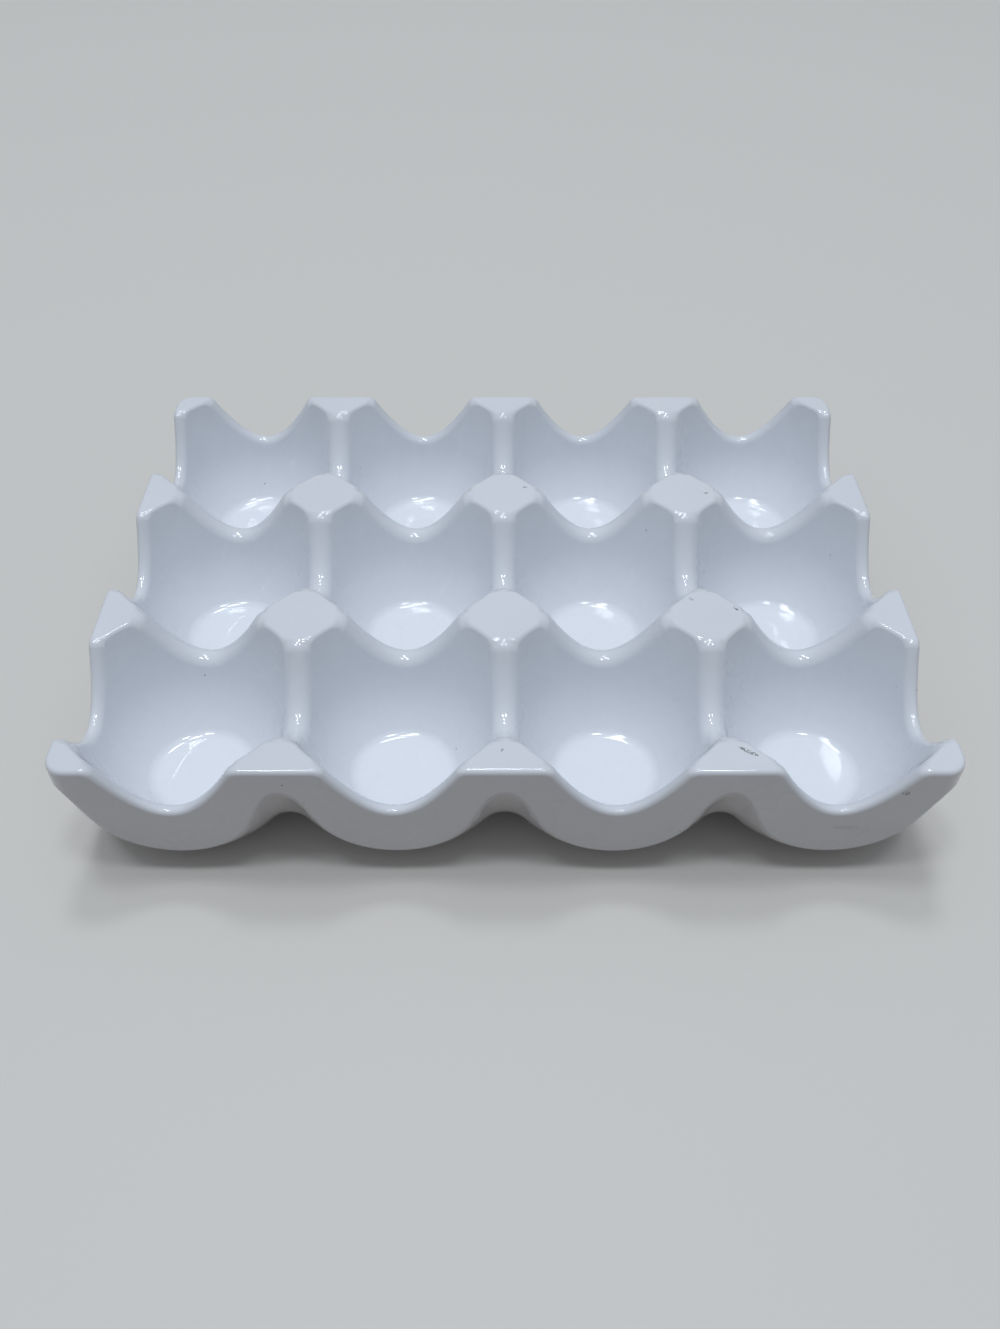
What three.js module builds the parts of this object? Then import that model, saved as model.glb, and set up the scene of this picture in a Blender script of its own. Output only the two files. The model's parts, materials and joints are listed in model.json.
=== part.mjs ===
// Ceramic egg crate: twelve cups in one casting under a coat of glaze, in millimetres, +Z up.
// The origin is on the table, below the middle of the crate. Columns run along X and rows along Y.
import * as THREE from 'three';

// Driving sizes of the crate
const COLUMNS = 4;
const ROWS = 3;
const PITCH = 50; // from one cup's axis to the next
const HEIGHT = 38; // from the table to the flat tops of the posts
const EDGE_MARGIN = 0.25; // from the outermost lines of posts to the outer faces
const CORNER_RADIUS = 2.5; // of the crate's upright corners
const GLAZE = 0.5; // thickness of the coat

// Driving sizes of the cups, ridges and posts, over the glaze
const FLOOR_LEVEL = 6.8; // from the table to the cups' floors
const FLOOR_RADIUS = 12; // of the flat floor of a cup
const RIDGE_LEVEL = 24.4; // from the table to the lowest point of a ridge
const RIDGE_RADIUS = 3.5; // rounding along the ridges
const RIM_RADIUS = 1.2; // rounding along the outer edge of the crate
const POST_REACH = 9.3; // from a post's middle to each tip of its flat top
const POST_RADIUS = 1.2; // rounding half way along each edge of a flat top

// Driving sizes of the underside
const FOOT_RADIUS = 5.3; // flat below each cup, which stands on the table
const BOWL_LEAN = 14.6; // degrees by which the steepest part of a bowl leans out
const GROOVE_RADIUS = 5; // fillet in the grooves between neighbouring bowls
const CORNER_EDGE = 0.8; // upright face that is left at the four corners

// Facets
const RIDGE_STATIONS = 2; // from the middle of a ridge to its end at a post
const POST_STATIONS = 1; // round an eighth of a post
const HOLLOW_STEPS = 2;
const RIDGE_STEPS = 2;
const RIM_STEPS = 1;
const CORNER_STEPS = 1; // round an eighth of a turn at a corner of the crate
const EDGE_STATIONS = 3; // from the middle of an outer side to its end
const BOWL_STATIONS = 2; // from the middle of an inner side to its end
const BOWL_STEPS = 3;
const GROOVE_STEPS = 2;
const FAN_STATIONS = 1; // below a post, where four grooves meet
const SOLVER_STEPS = 50;
const GRID = 1e-4; // points closer than this are one point

// Sizes that follow from the driving ones
const { lerp, degToRad } = THREE.MathUtils;
const up = new THREE.Vector3(0, 0, 1);
const half = PITCH / 2;
const outerReach = half + EDGE_MARGIN;
const rimLine = outerReach - RIM_RADIUS;
const cornerMiddle = outerReach - CORNER_RADIUS;

// The ridges are rounded by a ball that rolls along the middle of the wall between two cups, up to
// the post's flat top, and goes on level round the post.
const kneeReach = Math.hypot(half, half - POST_REACH);
const cupDraft = Math.atan2(kneeReach - half, HEIGHT - RIDGE_LEVEL);
const spread = Math.tan(Math.PI / 4 - cupDraft / 2);
const mouthRadius = kneeReach - RIDGE_RADIUS * spread;

// The cup's side of the rim is rounded by a smaller ball, which dips to the same line on the wall.
const lipRadius = RIDGE_RADIUS - (half - rimLine) / Math.cos(cupDraft);

// From that line down, each cup is hollowed out in an arc, which ends at the edge of its floor.
const wallFacing = new THREE.Vector2(-Math.cos(cupDraft), Math.sin(cupDraft));
const hollowTop = new THREE.Vector2(half, RIDGE_LEVEL - RIDGE_RADIUS);
hollowTop.addScaledVector(wallFacing, RIDGE_RADIUS);
const hollowChord = new THREE.Vector2(FLOOR_RADIUS, FLOOR_LEVEL).sub(hollowTop);
const hollowRadius = hollowChord.lengthSq() / (2 * hollowChord.dot(wallFacing));
const hollowMiddle = hollowTop.clone().addScaledVector(wallFacing, hollowRadius);

// Each bowl rises in an arc from its foot, then straight to the lower edge of the crate's corner.
const cornerReach = cornerMiddle * Math.SQRT2 + CORNER_RADIUS;
const cornerLevel = HEIGHT - RIM_RADIUS - CORNER_EDGE;
const bowlTilt = degToRad(90 - BOWL_LEAN);
const bowlFoot = cornerReach - cornerLevel / Math.tan(bowlTilt);
const bowlRadius = (bowlFoot - FOOT_RADIUS) / Math.tan(bowlTilt / 2);

// A closed surface gathered from triangles. Points that coincide are kept once.
class Skin {
  constructor() {
    this.points = [];
    this.triangles = [];
    this.numbers = new Map();
  }

  number(point) {
    const steps = point.toArray().map((value) => Math.round(value / GRID));
    const key = steps.join();
    if (!this.numbers.has(key)) {
      this.numbers.set(key, this.points.length);
      this.points.push(steps.map((step) => step * GRID));
    }
    return this.numbers.get(key);
  }

  add(corners, inwards) {
    const numbers = corners.map((point) => this.number(point));
    if (new Set(numbers).size === 3) {
      this.triangles.push(...(inwards ? numbers.reverse() : numbers));
    }
  }

  geometry() {
    const geometry = new THREE.BufferGeometry();
    geometry.setAttribute('position', new THREE.Float32BufferAttribute(this.points.flat(), 3));
    geometry.setIndex(this.triangles);
    geometry.computeVertexNormals();
    return geometry;
  }
}

// Triangles between neighbouring runs of points, where each run lies to the left of the one before.
function sheet(runs) {
  const triangles = [];
  for (let i = 1; i < runs.length; i += 1) {
    const [near, far] = [runs[i - 1], runs[i]];
    for (let j = 1; j < far.length; j += 1) {
      triangles.push([near[j - 1], near[j], far[j]], [near[j - 1], far[j], far[j - 1]]);
    }
  }
  return triangles;
}

// Triangles between two edges with different numbers of points, which both run along +Y.
function zip(left, right) {
  const triangles = [];
  let [i, j] = [0, 0];
  while (i < left.length - 1 || j < right.length - 1) {
    const nextLeft = i < left.length - 1 ? left[i + 1].y : Infinity;
    const nextRight = j < right.length - 1 ? right[j + 1].y : Infinity;
    if (nextLeft < nextRight) {
      triangles.push([left[i], right[j], left[i + 1]]);
      i += 1;
    } else {
      triangles.push([left[i], right[j], right[j + 1]]);
      j += 1;
    }
  }
  return triangles;
}

function upTo(count, make) {
  return Array.from({ length: count + 1 }, (_, i) => make(i / count));
}

function polar(bearing, radius, level) {
  return new THREE.Vector3(radius * Math.cos(bearing), radius * Math.sin(bearing), level);
}

function bearingOf(point) {
  return Math.atan2(point.y, point.x);
}

// The direction a share of the way from one to another, at a steady turn.
function turned(from, to, share) {
  const angle = from.angleTo(to);
  if (angle < GRID) {
    return from.clone();
  }
  return from.clone().multiplyScalar(Math.sin((1 - share) * angle) / Math.sin(angle))
    .addScaledVector(to, Math.sin(share * angle) / Math.sin(angle));
}

// Everything below is an eighth of a cell: half of its +X side, from the middle of the side towards
// the next side, +Y. Each side is either on the outside of the crate or shared with another cup.

// The line that the rolling ball's middle follows, as a distance from the cup's axis.
function lineOf(isOuter) {
  return isOuter ? rimLine : half;
}

function roundingOf(isOuter) {
  return isOuter ? lipRadius : RIDGE_RADIUS;
}

// How far from the cup's axis a ball is when it rolls level round a post.
function levelReach(radius) {
  return mouthRadius + radius * spread;
}

// Stations of the ball on its way up a ridge. Each has the directions from the ball's middle to the
// ridge's crest and to the outside.
function ridgeStations(isOuter) {
  const line = lineOf(isOuter);
  const radius = roundingOf(isOuter);
  const reach = levelReach(radius);
  const knee = Math.sqrt(reach ** 2 - line ** 2);
  return upTo(RIDGE_STATIONS, (share) => {
    const ball = new THREE.Vector3(line, knee * share, HEIGHT - radius);
    const distance = Math.hypot(ball.x, ball.y);
    ball.z -= (reach - distance) / Math.tan(cupDraft);
    const slope = ball.y / distance / Math.tan(cupDraft);
    const crest = new THREE.Vector3(0, -slope, 1).normalize();
    return { ball, radius, crest, outwards: new THREE.Vector3(1, 0, 0) };
  });
}

// Stations of the ball round a post, where it shrinks towards the middle of an edge of the flat top.
function postStations(isOuter) {
  const { ball, radius, outwards } = ridgeStations(isOuter).at(-1);
  return upTo(POST_STATIONS, (share) => {
    const bearing = lerp(bearingOf(ball), Math.PI / 4, share);
    const size = lerp(radius, POST_RADIUS, share);
    return { ball: polar(bearing, levelReach(size), HEIGHT - size), radius: size, crest: up, outwards };
  });
}

// Stations of the ball past a post's flat top: its far corner, or the round corner of the crate.
function farStations(isOuter, nextIsOuter) {
  const radius = RIM_RADIUS;
  const level = HEIGHT - radius;
  if (!isOuter || !nextIsOuter) {
    const ball = new THREE.Vector3(lineOf(isOuter), lineOf(nextIsOuter), level);
    return [{ ball, radius, crest: up, outwards: new THREE.Vector3(1, 0, 0) }];
  }
  const middle = new THREE.Vector3(cornerMiddle, cornerMiddle, level);
  return upTo(CORNER_STEPS, (share) => {
    const outwards = polar(share * Math.PI / 4, 1, 0);
    const ball = middle.clone().addScaledVector(outwards, CORNER_RADIUS - radius);
    return { ball, radius, crest: up, outwards };
  });
}

// The run of points from a cup's floor up its wall to a ridge or post, at a depth below the glaze.
function cupRun({ ball, radius, crest }, depth) {
  const bearing = bearingOf(ball);
  const wall = polar(bearing, wallFacing.x, wallFacing.y);
  const arc = hollowRadius + depth;
  const floorTilt = Math.acos((hollowMiddle.y - FLOOR_LEVEL + depth) / arc);
  const hollow = upTo(HOLLOW_STEPS, (share) => {
    const tilt = lerp(floorTilt, Math.PI / 2 - cupDraft, share);
    return polar(bearing, hollowMiddle.x + arc * Math.sin(tilt), hollowMiddle.y - arc * Math.cos(tilt));
  });
  const rounding = upTo(RIDGE_STEPS, (share) => {
    return ball.clone().addScaledVector(turned(wall, crest, share), radius - depth);
  });
  return [new THREE.Vector3(0, 0, FLOOR_LEVEL - depth), ...hollow, ...rounding];
}

// The run over the crate's rim, from its crest or a post's flat to the outer face.
function rimRun({ ball, radius, crest, outwards }, depth) {
  const middle = ball.clone().addScaledVector(crest, radius - RIM_RADIUS);
  return upTo(RIM_STEPS, (share) => {
    return middle.clone().addScaledVector(turned(crest, outwards, share), RIM_RADIUS - depth);
  });
}

// The bowl's tilt and level at a distance from its axis, with its surface moved out by an offset.
function bowlAt(distance, offset) {
  const arc = bowlRadius + offset;
  const reach = distance - FOOT_RADIUS;
  const tilt = Math.min(Math.asin(Math.min(reach / arc, 1)), bowlTilt);
  const level = bowlRadius - arc * Math.cos(tilt) + (reach - arc * Math.sin(tilt)) * Math.tan(tilt);
  return { tilt, level };
}

function onBowl(x, y) {
  return new THREE.Vector3(x, y, bowlAt(Math.hypot(x, y), 0).level);
}

// The run of points from below a cup's axis up its bowl to a point on it, and on along a groove.
function bowlRun(end, groove) {
  const bearing = bearingOf(end);
  const { tilt } = bowlAt(Math.hypot(end.x, end.y), 0);
  const arc = upTo(BOWL_STEPS, (share) => {
    const reach = FOOT_RADIUS + bowlRadius * Math.sin(tilt * share);
    return polar(bearing, reach, bowlRadius - bowlRadius * Math.cos(tilt * share));
  });
  return [new THREE.Vector3(0, 0, 0), ...arc, end, ...groove];
}

// Below: the ball that rolls between two neighbouring bowls, and the points where it touches clay.
function grooveStation(across) {
  const bearing = Math.atan2(across, half);
  const { tilt, level } = bowlAt(Math.hypot(half, across), GROOVE_RADIUS);
  return {
    ball: new THREE.Vector3(half, across, level),
    wall: polar(bearing, -Math.sin(tilt), Math.cos(tilt)),
    crest: new THREE.Vector3(0, -Math.tan(tilt) * Math.sin(bearing), 1).normalize(),
  };
}

function groovePoint({ ball, wall, crest }, share) {
  return ball.clone().addScaledVector(turned(wall, crest, share), GROOVE_RADIUS);
}

function grooveRun(station) {
  const [end, ...groove] = upTo(GROOVE_STEPS, (share) => groovePoint(station, share));
  return bowlRun(end, groove);
}

// Where a groove runs out through the crate's outer face, which is a reach from the cups' axes.
function grooveMouth(reach) {
  return upTo(GROOVE_STEPS, (share) => {
    let [low, high] = [reach, reach + 2 * GROOVE_RADIUS];
    for (let i = 0; i < SOLVER_STEPS; i += 1) {
      const middle = (low + high) / 2;
      const inside = groovePoint(grooveStation(middle), share).y < reach;
      [low, high] = inside ? [middle, high] : [low, middle];
    }
    return groovePoint(grooveStation(high), share);
  });
}

// The lower edge of an outer side, as far as the edge lies on the bowl.
function bowlEdge(nextIsOuter, depth) {
  const reach = outerReach - depth;
  const end = nextIsOuter ? cornerMiddle : grooveMouth(reach)[0].x;
  const side = upTo(EDGE_STATIONS, (share) => onBowl(reach, end * share));
  if (!nextIsOuter) {
    return side;
  }
  const corner = upTo(CORNER_STEPS, (share) => {
    const { x, y } = polar(share * Math.PI / 4, CORNER_RADIUS - depth, 0);
    return onBowl(cornerMiddle + x, cornerMiddle + y);
  });
  return [...side, ...corner.slice(1)];
}

// The whole lower edge of an outer side, with the rounding of the groove that runs out there.
function lowerEdge(nextIsOuter, depth) {
  const edge = bowlEdge(nextIsOuter, depth);
  if (nextIsOuter) {
    return edge;
  }
  const reach = outerReach - depth;
  const groove = grooveMouth(reach).map(({ x, z }) => new THREE.Vector3(reach, x, z));
  return [...edge, ...groove.slice(1)];
}

// The upper surface and the outer face, at a depth below the glaze.
function upperEighth(isOuter, nextIsOuter, depth) {
  const ridge = ridgeStations(isOuter);
  const post = postStations(isOuter);
  const far = farStations(isOuter, nextIsOuter);
  const cup = [...ridge, ...post].map((station) => cupRun(station, depth));
  const flat = post.map((station) => cupRun(station, depth).at(-1));
  const flatEnd = far.map((station) => rimRun(station, depth)[0]);
  const triangles = [...sheet(cup), ...zip(flat, flatEnd)];
  if (isOuter) {
    const rim = [...ridge, post[0], ...far].map((station) => rimRun(station, depth));
    const upperEdge = rim.map((run) => run.at(-1));
    triangles.push(...sheet(rim), ...zip(upperEdge, lowerEdge(nextIsOuter, depth)));
  }
  return triangles;
}

// The bare underside of the clay, with its foot, bowl and grooves.
function underEighth(isOuter, nextIsOuter) {
  if (isOuter) {
    const edge = bowlEdge(nextIsOuter, GLAZE);
    return sheet(edge.map((end) => bowlRun(end, upTo(GROOVE_STEPS - 1, () => end))));
  }
  const reach = nextIsOuter ? outerReach - GLAZE : half;
  const runs = upTo(BOWL_STATIONS, (share) => grooveRun(grooveStation(reach * share)));
  if (nextIsOuter) {
    const [end, ...groove] = grooveMouth(reach);
    return sheet([...runs, bowlRun(end, groove)]);
  }
  const last = grooveStation(half);
  const fan = upTo(FAN_STATIONS, (share) => {
    return grooveRun({ ...last, crest: turned(last.crest, up, share) });
  });
  return sheet([...runs, ...fan]);
}

// The glaze's lower edge, a narrow strip between its inner and outer faces.
function glazeEdgeEighth(isOuter, nextIsOuter) {
  if (!isOuter) {
    return [];
  }
  const inner = lowerEdge(nextIsOuter, GLAZE);
  const outer = lowerEdge(nextIsOuter, 0);
  return sheet(inner.map((point, i) => [point, outer[i]]));
}

// The crate's cells, each with its middle, and whether each of its sides is on the outside.
function cells() {
  const list = [];
  for (let column = 0; column < COLUMNS; column += 1) {
    for (let row = 0; row < ROWS; row += 1) {
      const middle = new THREE.Vector3(column - (COLUMNS - 1) / 2, row - (ROWS - 1) / 2, 0);
      const outer = [column === COLUMNS - 1, row === ROWS - 1, column === 0, row === 0];
      list.push({ middle: middle.multiplyScalar(PITCH), outer });
    }
  }
  return list;
}

// Mirrors a point, turns it by quarter turns about a cup's axis, and moves it to the cup's place.
function placed({ x, y, z }, side, hand, middle) {
  const turns = [[x, hand * y], [-hand * y, x], [-x, -hand * y], [hand * y, -x]];
  return new THREE.Vector3(...turns[side], z).add(middle);
}

// Adds an eighth in all its places: in every cell, on its four sides, in both halves of each.
function addEverywhere(skin, eighth, inwards) {
  for (const { middle, outer } of cells()) {
    for (let side = 0; side < outer.length; side += 1) {
      for (const hand of [1, -1]) {
        const next = (side + hand + outer.length) % outer.length;
        for (const triangle of eighth(outer[side], outer[next])) {
          const corners = triangle.map((point) => placed(point, side, hand, middle));
          skin.add(corners, inwards !== (hand < 0));
        }
      }
    }
  }
}

function clayGeometry() {
  const skin = new Skin();
  addEverywhere(skin, (side, next) => upperEighth(side, next, GLAZE), false);
  addEverywhere(skin, underEighth, true);
  return skin.geometry();
}

function glazeGeometry() {
  const skin = new Skin();
  addEverywhere(skin, (side, next) => upperEighth(side, next, 0), false);
  addEverywhere(skin, (side, next) => upperEighth(side, next, GLAZE), true);
  addEverywhere(skin, glazeEdgeEighth, true);
  return skin.geometry();
}

function piece(name, geometry, color, roughness) {
  const mesh = new THREE.Mesh(geometry, new THREE.MeshStandardMaterial({ color, roughness, metalness: 0 }));
  mesh.name = name;
  return mesh;
}

const crate = new THREE.Group();
crate.add(piece('clay_body', clayGeometry(), 0xe9e4da, 0.85));
crate.add(piece('glaze_coat', glazeGeometry(), 0xeef0f3, 0.12));

export default crate;
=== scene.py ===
"""A glazed ceramic egg crate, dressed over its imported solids.

The coat of glaze and the clay below it are each one lattice of cups, on a pale floor in soft light.
"""
import json
from collections import namedtuple
from math import asin, atan2, cos, hypot, pi, radians, sin, sqrt, tan

import bpy
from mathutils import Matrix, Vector
from mathutils.geometry import intersect_sphere_sphere_2d

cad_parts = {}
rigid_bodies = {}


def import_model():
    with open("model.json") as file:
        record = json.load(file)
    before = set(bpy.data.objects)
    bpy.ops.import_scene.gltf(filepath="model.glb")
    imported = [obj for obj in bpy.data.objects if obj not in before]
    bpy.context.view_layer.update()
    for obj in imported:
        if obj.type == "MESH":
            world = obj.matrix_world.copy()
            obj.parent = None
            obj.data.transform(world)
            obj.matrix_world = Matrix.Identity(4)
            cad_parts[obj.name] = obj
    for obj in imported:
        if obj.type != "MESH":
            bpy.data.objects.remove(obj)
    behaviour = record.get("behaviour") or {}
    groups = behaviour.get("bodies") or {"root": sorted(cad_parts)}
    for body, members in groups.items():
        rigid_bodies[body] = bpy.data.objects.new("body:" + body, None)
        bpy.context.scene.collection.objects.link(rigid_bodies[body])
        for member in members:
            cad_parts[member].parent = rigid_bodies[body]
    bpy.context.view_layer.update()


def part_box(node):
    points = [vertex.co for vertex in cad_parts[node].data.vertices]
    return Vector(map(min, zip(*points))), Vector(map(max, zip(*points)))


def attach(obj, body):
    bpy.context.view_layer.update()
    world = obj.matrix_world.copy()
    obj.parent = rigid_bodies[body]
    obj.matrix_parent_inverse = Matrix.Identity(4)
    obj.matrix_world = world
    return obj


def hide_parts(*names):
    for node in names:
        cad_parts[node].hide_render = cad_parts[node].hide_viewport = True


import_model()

MM = 0.001
UP = Vector((0, 0, 1))
OUTWARDS = Vector((1, 0, 0))

# The counts of cups, and the sizes that the frame gives
COLUMNS = 4
ROWS = 3
_, glaze_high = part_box("glaze_coat")
_, clay_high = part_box("clay_body")
HEIGHT = glaze_high.z
GLAZE = glaze_high.z - clay_high.z
PITCH = 2 * (glaze_high.x - glaze_high.y) / (COLUMNS - ROWS)
HALF = PITCH / 2
OUTER_REACH = glaze_high.x - (COLUMNS - 1) * HALF

# Driving sizes of the cups, ridges and posts, with levels counted down from the posts' tops
CUP_DEPTH = 31.2 * MM
FLOOR_RADIUS = 12 * MM  # of a cup's floor, up to the edge that the fillet rounds
FLOOR_FILLET = 4 * MM
FLOOR_DISH = 130 * MM  # radius of the shallow dish that each floor is
RIDGE_DIP = 13.6 * MM
RIDGE_RADIUS = 3.5 * MM
RIDGE_SWELL = 0.9 * MM  # by which the rounding grows from a ridge's dip to the tip of a flat top
RIM_RADIUS = 1.2 * MM
POST_RADIUS = 1.2 * MM  # of the rounding half way along each edge of a post's flat top
POST_REACH = 9.3 * MM  # from a post's middle to each tip of its flat top, before the swell blunts it
TIP_POWER = 5  # the higher it is, the closer to the tips the rounding tightens
FLAT_MARGIN = 0.06  # share of the way in from a flat top's edge over which its shading may turn
CORNER_RADIUS = 5 * MM  # of the crate's upright corners

# Driving sizes of the underside
FOOT_RADIUS = 5.3 * MM
BOWL_LEAN = 14.6  # degrees by which the steepest part of a bowl leans out
GROOVE_RADIUS = 5 * MM
MOUTH_RADIUS = 7.4 * MM  # of a groove where it reaches an outer face
BOWL_CORNER = 2.5 * MM  # radius of the tighter corner that the bowls rise to
CORNER_EDGE = 0.8 * MM  # upright face that a bowl would leave at that tighter corner
EDGE_RADIUS = 1.4 * MM  # rounding of the lower edge

# How far casting and firing have pulled the crate out of true, and over what length
WARP = 0.4 * MM
WARP_LENGTH = 70 * MM
WARP_DETAIL = 1

# Facets: the skin that shows is fine, and the one between the glaze and the clay is coarse.
# Stations follow each other along an edge or a groove, and steps go over or round it.
Facets = namedtuple("Facets", "ridge knee post floor fillet hollow rounding rim")
FINE = Facets(ridge=12, knee=6, post=8, floor=3, fillet=6, hollow=7, rounding=14, rim=10)
COARSE = Facets(ridge=6, knee=1, post=3, floor=1, fillet=3, hollow=4, rounding=3, rim=2)
CORNER_STEPS = 6
EDGE_STATIONS = 20
EDGE_STEPS = 8
BOWL_STATIONS = 12
BOWL_STEPS = 14
GROOVE_STEPS = 8
MOUTH_STATIONS = 7
FAN_STATIONS = 6
SOLVER_STEPS = 40  # halvings of the stretch in which a groove runs out
JOIN_DISTANCE = 2e-6  # in metres, for points that coincide
SHARP_TURN = radians(50)  # edges that turn further are shaded as sharp

# The sides of a cell. The kind of a side is a sum that says which of the side before it, the side
# itself and the side after it are on the outside of the crate.
SIDES = 4
BEFORE_OUTER = 4
SELF_OUTER = 2
AFTER_OUTER = 1
KINDS = 8

# Sizes that follow from the driving ones
rim_line = OUTER_REACH - RIM_RADIUS
corner_middle = OUTER_REACH - CORNER_RADIUS
knee_reach = hypot(HALF, HALF - POST_REACH)
cup_draft = atan2(knee_reach - HALF, RIDGE_DIP)  # by which a cup's wall leans out near its top
wall_tilt = pi / 2 - cup_draft
spread = tan(pi / 4 - cup_draft / 2)  # how far past the edge that it rounds a ball of unit radius is
cup_mouth = knee_reach - RIDGE_RADIUS * spread  # radius of that edge round a cup
floor_level = HEIGHT - CUP_DEPTH

# The cup's side of the rim is rounded by a smaller ball, which dips to the same line on the wall.
lip_radius = RIDGE_RADIUS - (HALF - rim_line) / cos(cup_draft)

# From that line down, each cup is an arc, and a fillet joins it to the shallow dish of the floor.
wall_facing = Vector((-cos(cup_draft), sin(cup_draft)))
hollow_top = Vector((HALF, HEIGHT - RIDGE_DIP - RIDGE_RADIUS)) + wall_facing * RIDGE_RADIUS
hollow_chord = Vector((FLOOR_RADIUS, floor_level)) - hollow_top
hollow_radius = hollow_chord.length_squared / (2 * hollow_chord.dot(wall_facing))
hollow_middle = hollow_top + wall_facing * hollow_radius
dish_middle = Vector((0, floor_level + FLOOR_DISH))
fillet_middle = max(intersect_sphere_sphere_2d(
    dish_middle, FLOOR_DISH - FLOOR_FILLET, hollow_middle, hollow_radius - FLOOR_FILLET,
), key=lambda crossing: crossing.x)
dish_tilt = atan2(fillet_middle.x, dish_middle.y - fillet_middle.y)
fillet_tilt = atan2(fillet_middle.x - hollow_middle.x, hollow_middle.y - fillet_middle.y)

# Below, each bowl rises in an arc from its foot, then straight to the lower edge at the corner.
corner_reach = (OUTER_REACH - BOWL_CORNER) * sqrt(2) + BOWL_CORNER
corner_level = HEIGHT - RIM_RADIUS - CORNER_EDGE
bowl_tilt = radians(90 - BOWL_LEAN)
bowl_foot = corner_reach - corner_level / tan(bowl_tilt)
bowl_radius = (bowl_foot - FOOT_RADIUS) / tan(bowl_tilt / 2)


def shares(count):
    return [i / count for i in range(count + 1)]


def lerp(start, end, share):
    return start + (end - start) * share


def polar(bearing, reach, level):
    return Vector((reach * cos(bearing), reach * sin(bearing), level))


def bearing_of(point):
    return atan2(point.y, point.x)


def swapped(point):
    """Mirrors a point or direction between a cell's +X side and its +Y side."""
    return Vector((point.y, point.x, point.z))


def sheet(runs):
    """Faces between neighbouring runs of points, where each run lies to the left of the one before."""
    faces = []
    for near, far in zip(runs, runs[1:]):
        for j in range(1, len(far)):
            faces.append([near[j - 1], near[j], far[j], far[j - 1]])
    return faces


def strip(left, right):
    """Faces between two edges with different numbers of points, which both run along +Y."""
    faces = []
    i = 0
    j = 0
    while i < len(left) - 1 or j < len(right) - 1:
        left_is_next = j == len(right) - 1
        if i < len(left) - 1 and j < len(right) - 1:
            left_is_next = left[i + 1].y < right[j + 1].y
        if left_is_next:
            faces.append([left[i], right[j], left[i + 1]])
            i += 1
        else:
            faces.append([left[i], right[j], right[j + 1]])
            j += 1
    return faces


# The stations and runs that follow are of an eighth of a cell: half of its +X side, from the middle
# of the side towards the next side, +Y. Each side is either on the outside of the crate or shared
# with another cup. A station is where a rolling ball rounds an edge, with its directions to the
# crest and outwards.
Station = namedtuple("Station", "ball radius crest outwards")


def line_of(is_outer):
    """How far from the cup's axis the balls of a side's rim or ridge roll."""
    return rim_line if is_outer else HALF


def rounding_of(is_outer):
    """The radius of that ball at the dip."""
    return lip_radius if is_outer else RIDGE_RADIUS


def level_reach(radius):
    """How far from the cup's axis a ball is when it rolls level round a post."""
    return cup_mouth + radius * spread


def ridge_stations(is_outer, facets):
    """Stations from the dip in the middle of a side up to the tip of a flat top."""
    line = line_of(is_outer)
    dip_radius = rounding_of(is_outer)
    knee = sqrt(level_reach(dip_radius + RIDGE_SWELL) ** 2 - line ** 2)
    stations = []
    for share in shares(facets.ridge):
        radius = dip_radius + RIDGE_SWELL * share ** 2
        growth = 2 * RIDGE_SWELL * share / knee
        distance = hypot(line, knee * share)
        level = HEIGHT - radius - (level_reach(radius) - distance) / tan(cup_draft)
        slope = (knee * share / distance - growth * spread) / tan(cup_draft) - growth
        crest = Vector((0, -slope, 1)).normalized()
        stations.append(Station(Vector((line, knee * share, level)), radius, crest, OUTWARDS))
    return stations


def knee_stations(start, facets):
    """Stations over the tip of a flat top, where the crest of a ridge turns level."""
    return [start._replace(crest=start.crest.slerp(UP, share)) for share in shares(facets.knee)[1:-1]]


def post_stations(is_outer, facets):
    """Stations from the tip of a flat top to the middle of its edge."""
    start = ridge_stations(is_outer, facets)[-1]
    stations = []
    for share in shares(facets.post):
        bearing = lerp(bearing_of(start.ball), pi / 4, share)
        size = lerp(POST_RADIUS, start.radius, (1 - share) ** TIP_POWER)
        ball = polar(bearing, level_reach(size), HEIGHT - size)
        stations.append(Station(ball, size, UP, OUTWARDS))
    return stations


def corner_balls(radius, level):
    """Balls that touch the crate's upright corner from inside, with their directions outwards."""
    middle = Vector((corner_middle, corner_middle, level))
    directions = [polar(share * pi / 4, 1, 0) for share in shares(CORNER_STEPS)]
    return [(middle + outwards * (CORNER_RADIUS - radius), outwards) for outwards in directions]


def far_stations(is_outer, next_is_outer):
    """Stations past a post's flat top: its far corner, or the round corner of the crate."""
    level = HEIGHT - RIM_RADIUS
    if is_outer and next_is_outer:
        balls = corner_balls(RIM_RADIUS, level)
    else:
        balls = [(Vector((line_of(is_outer), line_of(next_is_outer), level)), OUTWARDS)]
    return [Station(ball, RIM_RADIUS, UP, outwards) for ball, outwards in balls]


def arc(middle, radius, start, end, steps):
    """Points round part of a circle, between two tilts from its lowest point."""
    tilts = [lerp(start, end, share) for share in shares(steps)]
    return [middle + Vector((sin(tilt), -cos(tilt))) * radius for tilt in tilts]


def cup_profile(depth, facets):
    """A cup's section from its axis up to its straight wall, as reaches and levels."""
    dish = arc(dish_middle, FLOOR_DISH + depth, 0, dish_tilt, facets.floor)
    fillet = arc(fillet_middle, FLOOR_FILLET + depth, dish_tilt, fillet_tilt, facets.fillet)
    hollow = arc(hollow_middle, hollow_radius + depth, fillet_tilt, wall_tilt, facets.hollow)
    return dish + fillet[1:] + hollow[1:]


def cup_run(station, depth, facets):
    """Points from a cup's floor up its wall to a ridge or post, at a depth below the glaze."""
    bearing = bearing_of(station.ball)
    wall = polar(bearing, wall_facing.x, wall_facing.y)
    points = [polar(bearing, place.x, place.y) for place in cup_profile(depth, facets)]
    for share in shares(facets.rounding):
        points.append(station.ball + wall.slerp(station.crest, share) * (station.radius - depth))
    return points


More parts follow.
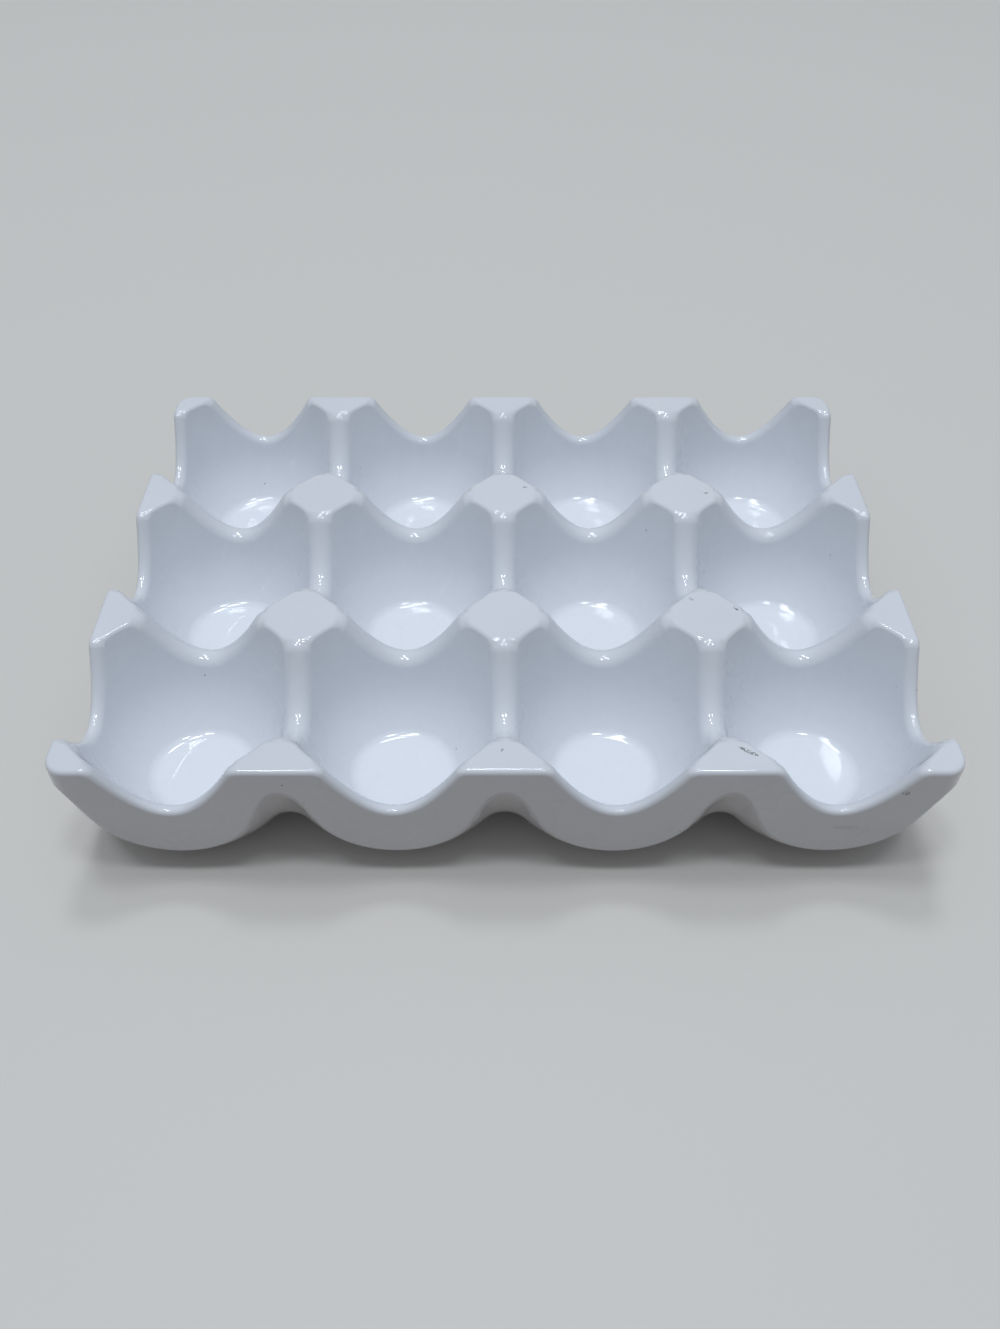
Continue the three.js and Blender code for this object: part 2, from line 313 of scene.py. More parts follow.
def rim_run(station, depth, facets):
    """Points over the crate's rim, from its crest or a post's flat to the outer face."""
    middle = station.ball + station.crest * (station.radius - RIM_RADIUS)
    points = []
    for share in shares(facets.rim):
        direction = station.crest.slerp(station.outwards, share)
        points.append(middle + direction * (RIM_RADIUS - depth))
    return points


def bowl_at(distance, offset):
    """The tilt and level of a bowl below, with its surface moved out by an offset."""
    radius = bowl_radius + offset
    reach = distance - FOOT_RADIUS
    tilt = min(asin(min(reach / radius, 1)), bowl_tilt)
    level = bowl_radius - radius * cos(tilt) + (reach - radius * sin(tilt)) * tan(tilt)
    return tilt, level


def bowl_run(end, groove):
    """Points from below a cup's axis up its bowl to a point on it, and on along a groove."""
    bearing = bearing_of(end)
    tilt, _ = bowl_at(hypot(end.x, end.y), 0)
    points = [Vector((0, 0, 0))]
    for share in shares(BOWL_STEPS):
        reach = FOOT_RADIUS + bowl_radius * sin(tilt * share)
        points.append(polar(bearing, reach, bowl_radius - bowl_radius * cos(tilt * share)))
    return points + [end] + groove


# A groove station is the ball that rolls between two neighbouring bowls, with its directions to the
# clay's wall and to the top of the groove.
Groove = namedtuple("Groove", "ball radius wall crest")


def groove_station(across, next_is_outer):
    """The station at a distance along a groove, which widens towards an outer face."""
    radius = GROOVE_RADIUS
    if next_is_outer:
        radius = lerp(GROOVE_RADIUS, MOUTH_RADIUS, (across / OUTER_REACH) ** 2)
    bearing = atan2(across, HALF)
    tilt, level = bowl_at(hypot(HALF, across), radius)
    wall = polar(bearing, -sin(tilt), cos(tilt))
    crest = Vector((0, -tan(tilt) * sin(bearing), 1)).normalized()
    return Groove(Vector((HALF, across, level)), radius, wall, crest)


def groove_point(groove, share):
    """A point on a groove, at a share of the way round from the bowl to the groove's top."""
    return groove.ball + groove.wall.slerp(groove.crest, share) * groove.radius


def groove_run(groove):
    """Points from below a cup's axis up its bowl to the top of a groove."""
    points = [groove_point(groove, share) for share in shares(GROOVE_STEPS)]
    return bowl_run(points[0], points[1:])


# The lower edge is rounded by a small ball. Each station has the directions from its middle to the
# outer face and to the underside.
Edge = namedtuple("Edge", "ball outwards under")


def bowl_edge_station(ball_x, ball_y, outwards):
    """The small ball between a bowl and an outer face."""
    tilt, level = bowl_at(hypot(ball_x, ball_y), -EDGE_RADIUS)
    under = polar(atan2(ball_y, ball_x), sin(tilt), -cos(tilt))
    return Edge(Vector((ball_x, ball_y, level)), outwards, under)


def edge_ball(across, share):
    """The small ball beside a groove's, and the direction to it at a share of the way round."""
    groove = groove_station(across, True)
    direction = groove.wall.slerp(groove.crest, share)
    return groove.ball + direction * (groove.radius + EDGE_RADIUS), direction


def mouth_across(share):
    """How far along a groove its ball is where the groove runs out, at a share of the way round."""
    low = OUTER_REACH - EDGE_RADIUS
    high = low + 2 * MOUTH_RADIUS
    for _ in range(SOLVER_STEPS):
        middle = (low + high) / 2
        if edge_ball(middle, share)[0].y < OUTER_REACH - EDGE_RADIUS:
            low = middle
        else:
            high = middle
    return low


def groove_edge_station(share):
    """The small ball between a groove and an outer face, turned to the +X side."""
    ball, direction = edge_ball(mouth_across(share), share)
    ball.y = OUTER_REACH - EDGE_RADIUS
    return Edge(swapped(ball), OUTWARDS, swapped(-direction))


def mouth_runs():
    """Runs from the last whole station of a groove to its mouth in an outer face."""
    ends = [(mouth_across(share), share) for share in shares(GROOVE_STEPS)]
    runs = []
    for part in shares(MOUTH_STATIONS)[1:-1]:
        stations = [(groove_station(lerp(OUTER_REACH, end, part), True), share) for end, share in ends]
        points = [groove_point(groove, share) for groove, share in stations]
        runs.append(bowl_run(points[0], points[1:]))
    edges, on_bowl = lower_edge(False)
    mouth = [swapped(edge_run(edge)[-1]) for edge in edges[on_bowl - 1:]]
    return runs + [bowl_run(mouth[0], mouth[1:])]


def lower_edge(next_is_outer):
    """Stations along the lower edge of an outer side, and how many of them lie on the bowl."""
    reach = OUTER_REACH - EDGE_RADIUS
    grooves = [groove_edge_station(share) for share in shares(GROOVE_STEPS)]
    end = corner_middle if next_is_outer else grooves[0].ball.y
    stations = [bowl_edge_station(reach, end * share, OUTWARDS) for share in shares(EDGE_STATIONS)]
    if next_is_outer:
        for ball, outwards in corner_balls(EDGE_RADIUS, 0)[1:]:
            stations.append(bowl_edge_station(ball.x, ball.y, outwards))
        return stations, len(stations)
    return stations + grooves[1:], len(stations)


def edge_run(edge):
    """Points round the lower edge, from the outer face to the underside."""
    return [edge.ball + edge.outwards.slerp(edge.under, s) * EDGE_RADIUS for s in shares(EDGE_STEPS)]


def inset(flat, flat_end):
    """A line just inside the edge of a flat top, which keeps the shading of its edge off the flat."""
    inner = []
    for i, point in enumerate(flat):
        across = flat_end[i * (len(flat_end) - 1) // (len(flat) - 1)]
        inner.append(point.lerp(across, FLAT_MARGIN))
    return inner


def upper_eighth(is_outer, next_is_outer, depth, facets):
    """The cup, ridge and flat top, and the rim and face of an outer side, at a depth."""
    ridge = ridge_stations(is_outer, facets)
    ridge += knee_stations(ridge[-1], facets)
    post = post_stations(is_outer, facets)
    far = far_stations(is_outer, next_is_outer)
    cup = [cup_run(station, depth, facets) for station in ridge + post]
    flat = [run[-1] for run in cup[len(ridge):]]
    flat_end = [rim_run(station, depth, facets)[0] for station in far]
    inner = inset(flat, flat_end)
    if is_outer:
        # The tip of this flat lies on the rim, so the line inside its edge starts at the tip itself.
        inner[0] = flat[0]
    faces = sheet(cup) + sheet([[first, second] for first, second in zip(flat, inner)])
    faces += strip(inner, flat_end)
    if is_outer:
        rim = [rim_run(station, depth, facets) for station in ridge + post[:1] + far]
        edges, _ = lower_edge(next_is_outer)
        rounded = [edge_run(edge) for edge in edges]
        # Only the skin that shows goes round the lower edge. The hidden one runs straight to its end.
        face_end = [run[-1 if depth else 0] for run in rounded]
        faces += sheet(rim) + strip([run[-1] for run in rim], face_end)
        if not depth:
            faces += sheet(rounded)
    return faces


def under_eighth(is_outer, next_is_outer):
    """The underside, with its foot, bowl and grooves, seen from inside the clay."""
    if is_outer:
        edges, on_bowl = lower_edge(next_is_outer)
        ends = [edge_run(edge)[-1] for edge in edges[:on_bowl]]
        return sheet([bowl_run(end, []) for end in ends])
    reach = OUTER_REACH if next_is_outer else HALF
    runs = [groove_run(groove_station(reach * share, next_is_outer)) for share in shares(BOWL_STATIONS)]
    if next_is_outer:
        return sheet(runs + mouth_runs())
    last = groove_station(HALF, False)
    for share in shares(FAN_STATIONS):
        runs.append(groove_run(last._replace(crest=last.crest.slerp(UP, share))))
    return sheet(runs)


def plain_mesh(name, faces):
    """A mesh from faces that are lists of points. Points that coincide are kept once."""
    numbers = {}
    points = []
    rings = []
    for face in faces:
        ring = []
        for point in face:
            key = tuple(round(value / JOIN_DISTANCE) for value in point)
            if key not in numbers:
                numbers[key] = len(points)
                points.append(point)
            if numbers[key] not in ring:
                ring.append(numbers[key])
        if len(ring) > 2:
            rings.append(ring)
    mesh = bpy.data.meshes.new(name)
    mesh.from_pydata(points, [], rings)
    return mesh


def both_halves(eighth, before_is_outer, is_outer, after_is_outer, inwards=False):
    """A whole side of a cell from an eighth and its mirror image."""
    faces = []
    for hand, next_is_outer in ((1, after_is_outer), (-1, before_is_outer)):
        for face in eighth(is_outer, next_is_outer):
            points = [Vector((p.x, hand * p.y, p.z)) for p in face]
            faces.append(points[::-1] if inwards != (hand < 0) else points)
    return faces


def shown_skin(is_outer, next_is_outer):
    return upper_eighth(is_outer, next_is_outer, 0, FINE)


def hidden_skin(is_outer, next_is_outer):
    return upper_eighth(is_outer, next_is_outer, GLAZE, COARSE)


def glaze_side(*outer):
    return both_halves(shown_skin, *outer) + both_halves(hidden_skin, *outer, inwards=True)


def clay_side(*outer):
    return both_halves(hidden_skin, *outer) + both_halves(under_eighth, *outer, inwards=True)


def node(tree, kind, inputs=None, **settings):
    """Adds a node, with its settings, and with values or links on its inputs."""
    made = tree.nodes.new(kind)
    for name, value in settings.items():
        setattr(made, name, value)
    for name, value in (inputs or {}).items():
        if isinstance(value, bpy.types.NodeSocket):
            tree.links.new(value, made.inputs[name])
        else:
            made.inputs[name].default_value = value
    return made


def maths(tree, operation, *values):
    return node(tree, "ShaderNodeMath", dict(enumerate(values)), operation=operation).outputs[0]


def warp_field(tree, warp, length):
    """A slow drift of each point, which stays inside the true crate and leaves the feet level."""
    place = node(tree, "GeometryNodeInputPosition").outputs[0]
    scale = maths(tree, "DIVIDE", 1, length)
    cloud = node(tree, "ShaderNodeTexNoise", {"Vector": place, "Scale": scale, "Detail": WARP_DETAIL})
    drift = node(tree, "ShaderNodeSeparateXYZ", {0: cloud.outputs["Color"]}).outputs
    part = node(tree, "ShaderNodeSeparateXYZ", {0: place}).outputs

    def level_offset(axis, reach):
        """Between minus and plus the warp in the middle, and only inwards at the outer faces."""
        swing = maths(tree, "MULTIPLY_ADD", drift[axis], 2, -1)
        pull = maths(tree, "DIVIDE", part[axis], reach)
        return maths(tree, "MULTIPLY", maths(tree, "SUBTRACT", swing, pull), warp)

    sag = maths(tree, "MULTIPLY", drift["Z"], maths(tree, "DIVIDE", part["Z"], -HEIGHT))
    return node(tree, "ShaderNodeCombineXYZ", {
        "X": level_offset("X", glaze_high.x),
        "Y": level_offset("Y", glaze_high.y),
        "Z": maths(tree, "MULTIPLY", sag, warp),
    }).outputs[0]


def lattice_tree():
    """Sets the right kind of side on the four sides of every cell, and joins them into one skin."""
    tree = bpy.data.node_groups.new("cup_lattice", "GeometryNodeTree")
    tree.is_modifier = True
    sockets = {
        "Columns": "NodeSocketInt",
        "Rows": "NodeSocketInt",
        "Pitch": "NodeSocketFloat",
        "Sides": "NodeSocketCollection",
        "Join Distance": "NodeSocketFloat",
        "Warp": "NodeSocketFloat",
        "Warp Length": "NodeSocketFloat",
        "Finish": "NodeSocketMaterial",
    }
    tree.interface.new_socket("Geometry", in_out="INPUT", socket_type="NodeSocketGeometry")
    for name, kind in sockets.items():
        tree.interface.new_socket(name, in_out="INPUT", socket_type=kind)
    tree.interface.new_socket("Geometry", in_out="OUTPUT", socket_type="NodeSocketGeometry")
    given = tree.nodes.new("NodeGroupInput").outputs

    def span(count):
        """How far apart the middles of the first and last cells are."""
        return maths(tree, "MULTIPLY", maths(tree, "SUBTRACT", given[count], 1), given["Pitch"])

    size_x = span("Columns")
    size_y = span("Rows")
    grid = node(tree, "GeometryNodeMeshGrid", {
        "Size X": size_x,
        "Size Y": size_y,
        "Vertices X": given["Columns"],
        "Vertices Y": given["Rows"],
    })
    cell = node(tree, "ShaderNodeSeparateXYZ", {0: node(tree, "GeometryNodeInputPosition").outputs[0]})

    def outermost(place, size, sign):
        """One for the cells at one end of the crate, and nothing for the others."""
        limit = maths(tree, "MULTIPLY", maths(tree, "SUBTRACT", size, given["Pitch"]), 0.5)
        return maths(tree, "GREATER_THAN", maths(tree, "MULTIPLY", place, sign), limit)

    outer = [
        outermost(cell.outputs["X"], size_x, 1),
        outermost(cell.outputs["Y"], size_y, 1),
        outermost(cell.outputs["X"], size_x, -1),
        outermost(cell.outputs["Y"], size_y, -1),
    ]
    kinds = node(tree, "GeometryNodeCollectionInfo", {
        "Collection": given["Sides"],
        "Separate Children": True,
        "Reset Children": True,
    })
    joined = tree.nodes.new("GeometryNodeJoinGeometry")
    for side in range(SIDES):
        before = maths(tree, "MULTIPLY", outer[side - 1], BEFORE_OUTER)
        own = maths(tree, "MULTIPLY_ADD", outer[side], SELF_OUTER, before)
        kind = maths(tree, "MULTIPLY_ADD", outer[(side + 1) % SIDES], AFTER_OUTER, own)
        placed = node(tree, "GeometryNodeInstanceOnPoints", {
            "Points": grid.outputs["Mesh"],
            "Instance": kinds.outputs[0],
            "Pick Instance": True,
            "Instance Index": kind,
            "Rotation": (0, 0, side * pi / 2),
        })
        tree.links.new(placed.outputs[0], joined.inputs[0])
    real = node(tree, "GeometryNodeRealizeInstances", {0: joined.outputs[0]})
    merged = node(tree, "GeometryNodeMergeByDistance", {
        "Geometry": real.outputs[0],
        "Distance": given["Join Distance"],
    })
    warped = node(tree, "GeometryNodeSetPosition", {
        "Geometry": merged.outputs[0],
        "Offset": warp_field(tree, given["Warp"], given["Warp Length"]),
    })
    smooth = node(tree, "GeometryNodeSetShadeSmooth", {"Geometry": warped.outputs[0]})
    turn = node(tree, "GeometryNodeInputMeshEdgeAngle").outputs["Unsigned Angle"]
    creased = node(tree, "GeometryNodeSetShadeSmooth", {
        "Geometry": smooth.outputs[0],
        "Selection": maths(tree, "GREATER_THAN", turn, SHARP_TURN),
        "Shade Smooth": False,
    }, domain="EDGE")
    finished = node(tree, "GeometryNodeSetMaterial", {
        "Geometry": creased.outputs[0],
        "Material": given["Finish"],
    })
    end = tree.nodes.new("NodeGroupOutput")
    tree.links.new(finished.outputs[0], end.inputs[0])
    return tree


def identifier(tree, name):
    """What a modifier calls the input of a tree that has this name."""
    for item in tree.interface.items_tree:
        if item.in_out == "INPUT" and item.name == name:
            return item.identifier


def lattice(name, tree, side_faces, finish):
    """One piece of the crate, from the kinds of side that its cells need."""
    sides = bpy.data.collections.new(name + "_sides")
    for kind in range(KINDS):
        outer = [bool(kind & bit) for bit in (BEFORE_OUTER, SELF_OUTER, AFTER_OUTER)]
        mesh = plain_mesh(f"{name}_side_{kind}", side_faces(*outer))
        sides.objects.link(bpy.data.objects.new(mesh.name, mesh))
    piece = bpy.data.objects.new(name, bpy.data.meshes.new(name))
    bpy.context.scene.collection.objects.link(piece)
    maker = piece.modifiers.new("cup_lattice", "NODES")
    maker.node_group = tree
    values = {
        "Columns": COLUMNS,
        "Rows": ROWS,
        "Pitch": PITCH,
        "Sides": sides,
        "Join Distance": JOIN_DISTANCE,
        "Warp": WARP,
        "Warp Length": WARP_LENGTH,
        "Finish": finish,
    }
    for input_name, value in values.items():
        maker[identifier(tree, input_name)] = value
    shading = piece.modifiers.new("even_shading", "WEIGHTED_NORMAL")
    shading.keep_sharp = True
    graph = bpy.context.evaluated_depsgraph_get()
    mesh = bpy.data.meshes.new_from_object(piece.evaluated_get(graph), depsgraph=graph)
    piece.modifiers.clear()
    piece.data = mesh
    mesh.name = name
    for source in list(sides.objects):
        bpy.data.meshes.remove(source.data)
    bpy.data.collections.remove(sides)
    return piece


def new_material(name):
    """A material with a Principled shader, and the shader's node."""
    material = bpy.data.materials.new(name)
    material.use_nodes = True
    return material, material.node_tree.nodes["Principled BSDF"]


# A mix node's sockets for colours, by number, because its other sockets have the same names
MIX_FIRST = 6
MIX_SECOND = 7
MIX_RESULT = 2


def blend(tree, share, first, second):
    """A colour between two others, each of them a link or three plain values."""
    mixed = node(tree, "ShaderNodeMix", {"Factor": share}, data_type="RGBA")
    for number, value in ((MIX_FIRST, first), (MIX_SECOND, second)):
        if isinstance(value, bpy.types.NodeSocket):
            tree.links.new(value, mixed.inputs[number])
        else:
            mixed.inputs[number].default_value = (*value, 1)
    return mixed.outputs[MIX_RESULT]


def ramp(tree, value, limits, results):
    """Goes smoothly from one result to the other while a value goes between two limits."""
    inputs = {
        "Value": value,
        "From Min": limits[0],
        "From Max": limits[1],
        "To Min": results[0],
        "To Max": results[1],
    }
    return node(tree, "ShaderNodeMapRange", inputs, interpolation_type="SMOOTHSTEP").outputs[0]


# The glaze: white, with a little cloud in it, and painted light: paler near the cups' floors, standing
# in for the reflected light they catch
GLAZE_WHITE = (0.79, 0.81, 0.86)
GLAZE_CLOUD = (0.765, 0.785, 0.835)
GLAZE_FLOOR_LIGHT = (0.81, 0.83, 0.88)
CLOUD_SIZE = 30 * MM
FLOOR_LIGHT_RISE = 5 * MM  # above the floors, over which the painted floor light fades out
GLOSS_SIZE = 9 * MM  # of the patches where the white below the clear coat is rougher
GLOSS_LIMITS = (0.3, 0.7)
GLOSS_ROUGHNESS = (0.22, 0.34)
GLAZE_SPECULAR = 0.15
COAT_IOR = 1.55
COAT_ROUGHNESS = 0.03
RIPPLE_SIZE = 6 * MM
RIPPLE_HEIGHT = 0.02 * MM

# Bare clay, which shows only where the feet were wiped clean of a thin wash of the glaze
CLAY_PALE = (0.74, 0.70, 0.63)
CLAY_DARK = (0.62, 0.575, 0.51)
CLAY_ROUGHNESS = 0.85
GRIT_SIZE = 0.5 * MM
GRIT_DETAIL = 4
GRAIN_HEIGHT = 0.06 * MM
WASH_SIZE = 20 * MM
WASH_ROUGHNESS = 0.1
WIPED_LEVEL = 0.45 * MM
WIPED_FADE = 1.4  # times that level, where the wash is whole again
RAGGED_SIZE = 2.5 * MM  # of the raggedness of the wiped edge

# Values of a cloud of noise between which one colour gives way to another
CLOUD_LIMITS = (0.35, 0.65)

# Dirt and painted shade: pinholes in the glaze, grey marks that use has left, and painted shade where a
# chip notches the rim
SPECK_AND_CHIP_SHADE_GREY = (0.15, 0.145, 0.145)
DIRT_ROUGHNESS = 0.4
PINHOLE_SPACING = 4 * MM
PINHOLE_EDGE = (0.03, 0.06)  # shares of the spacing between which a pinhole fades out
PINHOLE_SHARE = 0.1  # of the places where one could be
MARK_LIMITS = (0.05, 0.45)  # shares of the way in between which a mark grows to its full strength
SCRATCH_SIZE = 0.4 * MM
SCRATCH_LIMITS = (0.44, 0.56)

# The marks, in millimetres and degrees, with how much each darkens the glaze. All are on the flat
# tops but the last two: a smudge on the front face, and painted shade of a chip just below its rim.
FLAT_TOP = 37.8  # level of the flat tops
Mark = namedtuple("Mark", "x y z length width turn strength")
MARKS = (
    Mark(x=53.2, y=-69.0, z=FLAT_TOP, length=6.4, width=1.3, turn=-33, strength=1),
    Mark(x=57.3, y=-22.8, z=FLAT_TOP, length=2.6, width=1.1, turn=-70, strength=0.9),
    Mark(x=46.6, y=-19.3, z=FLAT_TOP, length=2.0, width=0.9, turn=-60, strength=0.8),
    Mark(x=56.2, y=24.7, z=FLAT_TOP, length=2.0, width=0.8, turn=25, strength=0.9),
    Mark(x=6.0, y=27.4, z=FLAT_TOP, length=1.8, width=0.8, turn=-15, strength=0.7),
    Mark(x=-0.7, y=-68.4, z=FLAT_TOP, length=1.5, width=0.8, turn=80, strength=0.7),
    Mark(x=77.0, y=-74.8, z=18.2, length=8.0, width=1.8, turn=0, strength=0.3),
    # Painted shade: a grey patch for the dark notch of a chip, which is not modelled
    Mark(x=87.5, y=-74.9, z=30.8, length=3.0, width=2.0, turn=-40, strength=0.7),
)


def noise(tree, place, size, detail=2):
    """A cloud of values about a half, with blotches of a size."""
    inputs = {"Vector": place, "Scale": 1 / size, "Detail": detail}
    return node(tree, "ShaderNodeTexNoise", inputs).outputs[0]


def level_of(tree, place):
    return node(tree, "ShaderNodeSeparateXYZ", {0: place}).outputs["Z"]


def worn_marks_and_chip_shade(tree, place):
    """How strongly a grey mark shows, worn dirt or the painted shade of a chip. Each fades towards its
    edge, and is broken up into scratches.
    """
    found = 0
    for mark in MARKS:
        near = node(tree, "ShaderNodeMapping", {
            "Vector": place,
            "Location": (mark.x * MM, mark.y * MM, mark.z * MM),
            "Rotation": (0, 0, radians(mark.turn)),
            "Scale": (mark.length * MM / 2, mark.width * MM / 2, mark.width * MM / 2),
        }, vector_type="TEXTURE")
        inputs = {"Vector": near.outputs[0]}
        inwards = node(tree, "ShaderNodeTexGradient", inputs, gradient_type="SPHERICAL").outputs["Fac"]
        shown = ramp(tree, inwards, MARK_LIMITS, (0, mark.strength))
        found = maths(tree, "MAXIMUM", shown, found)
    broken = ramp(tree, noise(tree, place, SCRATCH_SIZE), SCRATCH_LIMITS, (0, 1))
    return maths(tree, "MULTIPLY", found, broken)


def pinholes(tree, place):
    """Small round specks in a share of the cells of a scattered pattern."""
    cell = node(tree, "ShaderNodeTexVoronoi", {"Vector": place, "Scale": 1 / PINHOLE_SPACING})
    dot = ramp(tree, cell.outputs["Distance"], PINHOLE_EDGE, (1, 0))
    draw = node(tree, "ShaderNodeSeparateColor", {0: cell.outputs["Color"]}).outputs[0]
    return maths(tree, "MULTIPLY", dot, maths(tree, "GREATER_THAN", draw, 1 - PINHOLE_SHARE))


def glaze_finish():
    """A clear glossy coat over a white glaze clouded in the kiln, with painted light that makes it
    paler near the cups' floors.
    """
    material, shader = new_material("white_glaze")
    tree = material.node_tree
    place = node(tree, "ShaderNodeTexCoord").outputs["Object"]
    cloud = ramp(tree, noise(tree, place, CLOUD_SIZE), CLOUD_LIMITS, (0, 1))
    floor_light_paint = ramp(tree, level_of(tree, place), (floor_level, floor_level + FLOOR_LIGHT_RISE), (1, 0))
    dirt_and_chip_shade = maths(tree, "MAXIMUM", worn_marks_and_chip_shade(tree, place), pinholes(tree, place))

    colour = blend(tree, cloud, GLAZE_WHITE, GLAZE_CLOUD)
    # Painted light: the glaze near each cup's floor is made paler, for the light the floor catches
    colour = blend(tree, floor_light_paint, colour, GLAZE_FLOOR_LIGHT)
    # Grey pinholes and worn marks, and a mark of painted shade where the rim's chip shows dark
    colour = blend(tree, dirt_and_chip_shade, colour, SPECK_AND_CHIP_SHADE_GREY)
    tree.links.new(colour, shader.inputs["Base Color"])

    gloss = ramp(tree, noise(tree, place, GLOSS_SIZE), GLOSS_LIMITS, GLOSS_ROUGHNESS)
    roughness = maths(tree, "MULTIPLY_ADD", dirt_and_chip_shade, DIRT_ROUGHNESS, gloss)
    tree.links.new(roughness, shader.inputs["Roughness"])
    ripple = node(tree, "ShaderNodeBump", {
        "Height": noise(tree, place, RIPPLE_SIZE),
        "Distance": RIPPLE_HEIGHT,
    })
    tree.links.new(ripple.outputs[0], shader.inputs["Normal"])
    shader.inputs["Specular IOR Level"].default_value = GLAZE_SPECULAR
    shader.inputs["Coat Weight"].default_value = 1
    shader.inputs["Coat IOR"].default_value = COAT_IOR
    shader.inputs["Coat Roughness"].default_value = COAT_ROUGHNESS
    return material


def clay_finish():
    """A thin wash of the white glaze, wiped off the feet down to the bare gritty clay."""
    material, shader = new_material("fired_clay")
    tree = material.node_tree
    place = node(tree, "ShaderNodeTexCoord").outputs["Object"]
    grit = noise(tree, place, GRIT_SIZE, GRIT_DETAIL)
    rough_edge = noise(tree, place, RAGGED_SIZE)
    ragged = maths(tree, "MULTIPLY_ADD", rough_edge, WIPED_LEVEL, level_of(tree, place))
    wiped = ramp(tree, ragged, (WIPED_LEVEL, WIPED_LEVEL * WIPED_FADE), (1, 0))
    clay = blend(tree, ramp(tree, grit, CLOUD_LIMITS, (0, 1)), CLAY_PALE, CLAY_DARK)
    wash = blend(tree, noise(tree, place, WASH_SIZE), GLAZE_WHITE, GLAZE_CLOUD)
    tree.links.new(blend(tree, wiped, wash, clay), shader.inputs["Base Color"])
    roughness = ramp(tree, wiped, (0, 1), (WASH_ROUGHNESS, CLAY_ROUGHNESS))
    tree.links.new(roughness, shader.inputs["Roughness"])
    grain = node(tree, "ShaderNodeBump", {
        "Height": grit,
        "Strength": wiped,
        "Distance": GRAIN_HEIGHT,
    })
    tree.links.new(grain.outputs[0], shader.inputs["Normal"])
    return material


def seen_by_camera(tree):
    """One for what the camera sees, also by reflection, and nothing for what lights the crate."""
    ray = node(tree, "ShaderNodeLightPath").outputs
    return maths(tree, "MAXIMUM", ray["Is Camera Ray"], ray["Is Glossy Ray"])


# The floor, which looks paler than the light that it throws back up at the crate
FLOOR_PALE = (0.74, 0.705, 0.665)
FLOOR_BOUNCE = (0.28, 0.225, 0.18)
FLOOR_ROUGHNESS = 0.6
FLOOR_REACH = 4  # metres


def add_floor():
    signs = ((-1, -1), (1, -1), (1, 1), (-1, 1))
    mesh = plain_mesh("floor", [[Vector((x, y, 0)) * FLOOR_REACH for x, y in signs]])
    floor = bpy.data.objects.new("floor", mesh)
    bpy.context.scene.collection.objects.link(floor)
    material, shader = new_material("pale_floor")
    tree = material.node_tree
    colour = blend(tree, seen_by_camera(tree), FLOOR_BOUNCE, FLOOR_PALE)
    tree.links.new(colour, shader.inputs["Base Color"])
    shader.inputs["Roughness"].default_value = FLOOR_ROUGHNESS
    mesh.materials.append(material)


# Four round lamps overhead, as tilts in degrees to the right and to the back, in a dim blue dome.
# The camera and reflections see a grey backdrop in place of the dome.
LAMP_TILTS = {
    "lamp_left": (-13, -10),
    "lamp_right": (10, -10),
    "lamp_middle": (-5, 4),
    "lamp_back": (0, 19),
}
LAMP_DISTANCE = 3  # metres
LAMP_WIDTH = 0.48  # metres
LAMP_POWER = 10.8  # watts
LAMP_COLOUR = (0.885, 0.945, 1.0)
DOME_COLOUR = (0.81, 0.90, 1.0, 1)
DOME_TOP = 0.46  # strength overhead
DOME_FOOT = 0.10  # strength where it meets the floor
BACKDROP = (0.44, 0.45, 0.455, 1)
HORIZON = 0.45  # share of the backdrop's colour where it meets the floor
HORIZON_RISE = 0.3  # height, as a share of the dome's, at which that colour is whole


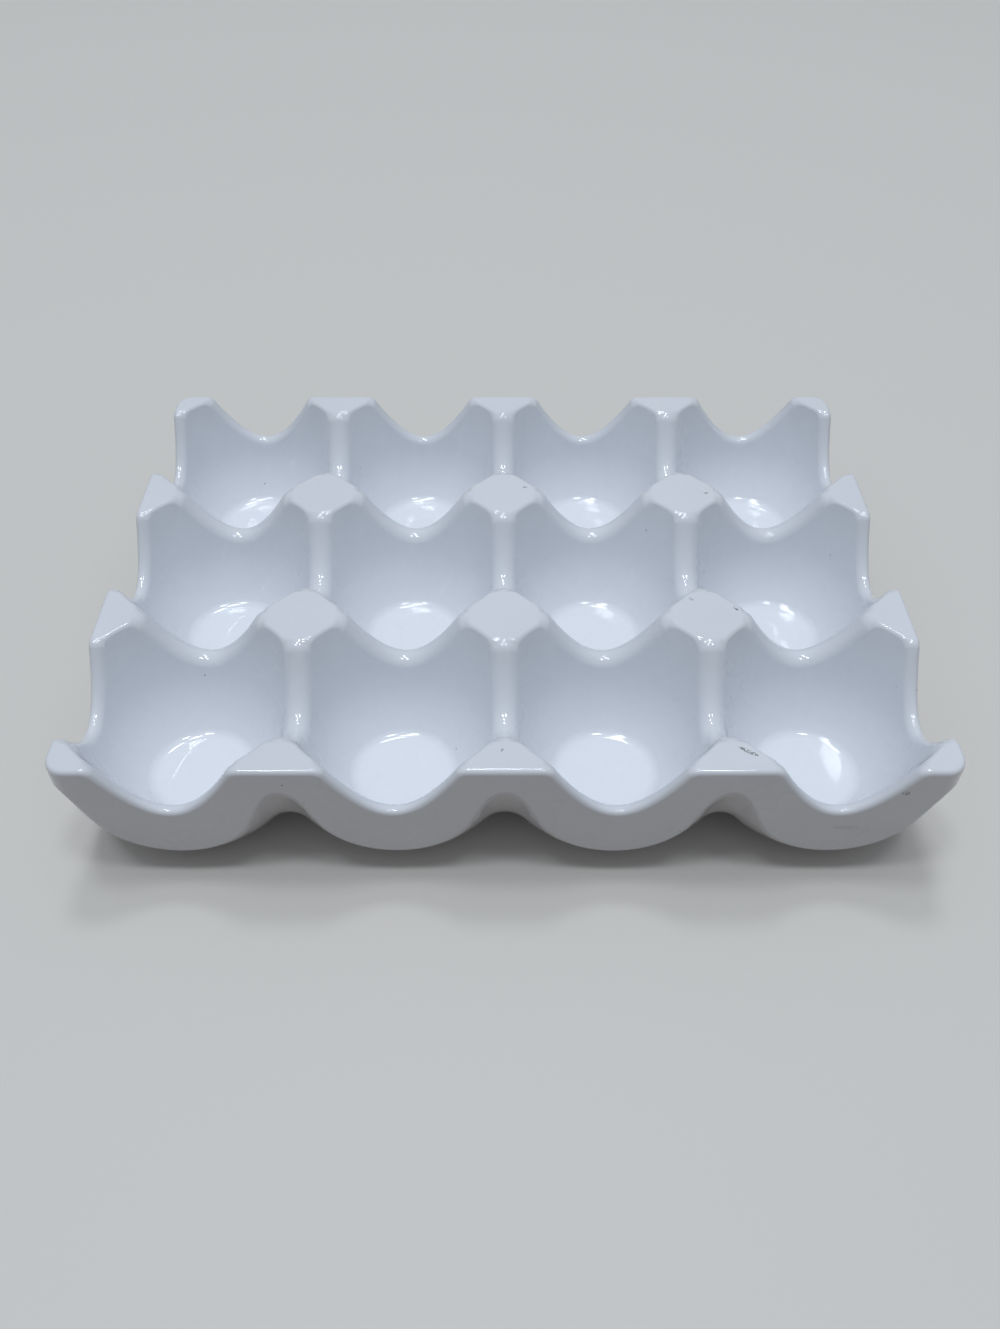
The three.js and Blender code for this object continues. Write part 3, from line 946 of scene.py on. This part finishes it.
def add_lamp(name, tilt_right, tilt_back):
    data = bpy.data.lights.new(name, "AREA")
    data.shape = "DISK"
    data.size = LAMP_WIDTH
    data.energy = LAMP_POWER
    data.color = LAMP_COLOUR
    lamp = bpy.data.objects.new(name, data)
    direction = Vector((tan(radians(tilt_right)), tan(radians(tilt_back)), 1)).normalized()
    lamp.location = direction * LAMP_DISTANCE
    lamp.rotation_euler = direction.to_track_quat("Z", "Y").to_euler()
    bpy.context.scene.collection.objects.link(lamp)


def add_light():
    world = bpy.data.worlds.new("studio")
    world.use_nodes = True
    tree = world.node_tree
    dome = tree.nodes["Background"]
    dome.inputs["Color"].default_value = DOME_COLOUR
    height = level_of(tree, node(tree, "ShaderNodeTexCoord").outputs["Generated"])
    tree.links.new(ramp(tree, height, (0, 1), (DOME_FOOT, DOME_TOP)), dome.inputs["Strength"])
    backdrop = node(tree, "ShaderNodeBackground", {
        "Color": BACKDROP,
        "Strength": ramp(tree, height, (0, HORIZON_RISE), (HORIZON, 1)),
    })
    both = node(tree, "ShaderNodeMixShader", {
        0: seen_by_camera(tree),
        1: dome.outputs[0],
        2: backdrop.outputs[0],
    })
    tree.links.new(both.outputs[0], tree.nodes["World Output"].inputs["Surface"])
    bpy.context.scene.world = world
    for name, tilts in LAMP_TILTS.items():
        add_lamp(name, *tilts)


# The camera, fitted to the lattice of the posts' tops
CAMERA_LENS = 29.93  # millimetres
CAMERA_SENSOR = 36  # millimetres along the picture's longer side
CAMERA_X = -1.913 * MM
CAMERA_Y = -224.5 * MM
CAMERA_RISE = 183.85 * MM  # above the posts' tops
CAMERA_TURNS = (44.7235, -0.1227, -0.1319)  # degrees about X, Y and Z


def add_camera():
    data = bpy.data.cameras.new("camera")
    data.lens = CAMERA_LENS
    data.sensor_width = CAMERA_SENSOR
    camera = bpy.data.objects.new("camera", data)
    camera.location = (CAMERA_X, CAMERA_Y, HEIGHT + CAMERA_RISE)
    camera.rotation_euler = [radians(turn) for turn in CAMERA_TURNS]
    bpy.context.scene.collection.objects.link(camera)
    bpy.context.scene.camera = camera


add_camera()
add_light()
add_floor()
bpy.context.scene.view_settings.view_transform = "Standard"

tree = lattice_tree()
glaze = lattice("crate_glaze", tree, glaze_side, glaze_finish())
clay = lattice("crate_clay", tree, clay_side, clay_finish())
for piece, cad_node, slot in ((glaze, "glaze_coat", "white_glaze"), (clay, "clay_body", "fired_clay")):
    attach(piece, "root")
    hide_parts(cad_node)
